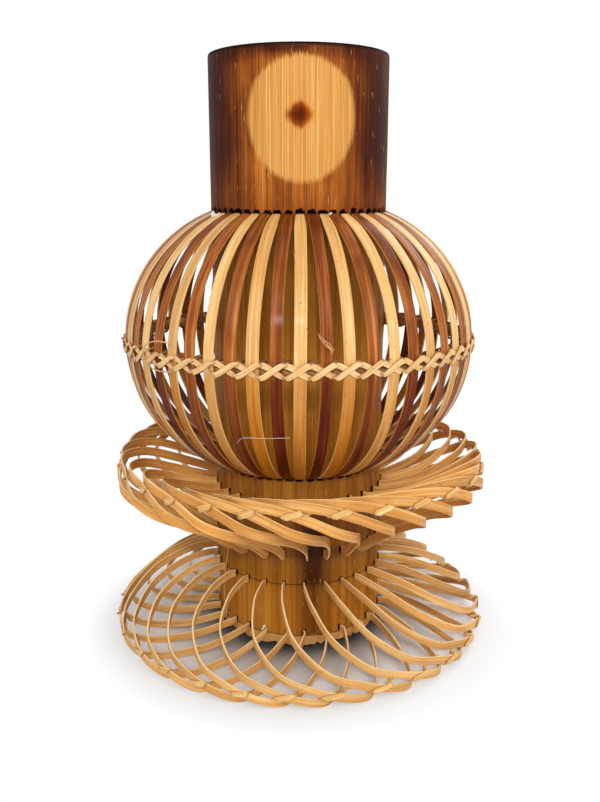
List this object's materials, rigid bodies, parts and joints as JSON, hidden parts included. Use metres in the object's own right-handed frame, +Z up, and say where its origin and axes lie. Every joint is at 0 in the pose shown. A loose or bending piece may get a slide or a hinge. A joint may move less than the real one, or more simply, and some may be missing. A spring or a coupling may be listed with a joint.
{
  "type": "bamboo vase",
  "caption": "Bamboo culm vase with a lashed belly of split-bamboo ribs and two flared skirts of strips bent out and back into the culm.",
  "frame": {"origin": "on the floor under the middle of the culm", "axes": "+Z up along the culm to the mouth, -Y towards the viewer of the picture, +X to the viewer's right"},
  "size_m": [0.2248, 0.2248, 0.333],
  "materials": {
    "culm_bamboo": "scorched and varnished",
    "hoop_cane": "smooth",
    "lashing_straw": "smooth",
    "binding_straw": "smooth",
    "light_splint": "varnished",
    "dark_splint": "varnished",
    "upper_strip": "varnished",
    "lower_strip": "varnished"
  },
  "bodies": {
    "root": {"culm": "culm_bamboo", "belly_hoop": "hoop_cane", "belly_lash_rising": "lashing_straw", "belly_lash_falling": "lashing_straw", "upper_binding": "binding_straw", "lower_binding": "binding_straw", "belly_light_1": "light_splint", "belly_light_2": "light_splint", "belly_light_3": "light_splint", "belly_light_4": "light_splint", "belly_light_5": "light_splint", "belly_light_6": "light_splint", "belly_light_7": "light_splint", "belly_light_8": "light_splint", "belly_light_9": "light_splint", "belly_light_10": "light_splint", "belly_light_11": "light_splint", "belly_light_12": "light_splint", "belly_light_13": "light_splint", "belly_dark_1": "dark_splint", "belly_dark_2": "dark_splint", "belly_dark_3": "dark_splint", "belly_dark_4": "dark_splint", "belly_dark_5": "dark_splint", "belly_dark_6": "dark_splint", "belly_dark_7": "dark_splint", "belly_dark_8": "dark_splint", "belly_dark_9": "dark_splint", "belly_dark_10": "dark_splint", "belly_dark_11": "dark_splint", "belly_dark_12": "dark_splint", "belly_dark_13": "dark_splint", "upper_strip_1": "upper_strip", "upper_strip_2": "upper_strip", "upper_strip_3": "upper_strip", "upper_strip_4": "upper_strip", "upper_strip_5": "upper_strip", "upper_strip_6": "upper_strip", "upper_strip_7": "upper_strip", "upper_strip_8": "upper_strip", "upper_strip_9": "upper_strip", "upper_strip_10": "upper_strip", "upper_strip_11": "upper_strip", "upper_strip_12": "upper_strip", "upper_strip_13": "upper_strip", "upper_strip_14": "upper_strip", "lower_strip_1": "lower_strip", "lower_strip_2": "lower_strip", "lower_strip_3": "lower_strip", "lower_strip_4": "lower_strip", "lower_strip_5": "lower_strip", "lower_strip_6": "lower_strip", "lower_strip_7": "lower_strip", "lower_strip_8": "lower_strip", "lower_strip_9": "lower_strip", "lower_strip_10": "lower_strip", "lower_strip_11": "lower_strip", "lower_strip_12": "lower_strip", "lower_strip_13": "lower_strip", "lower_strip_14": "lower_strip"}
  },
  "joints": []
}
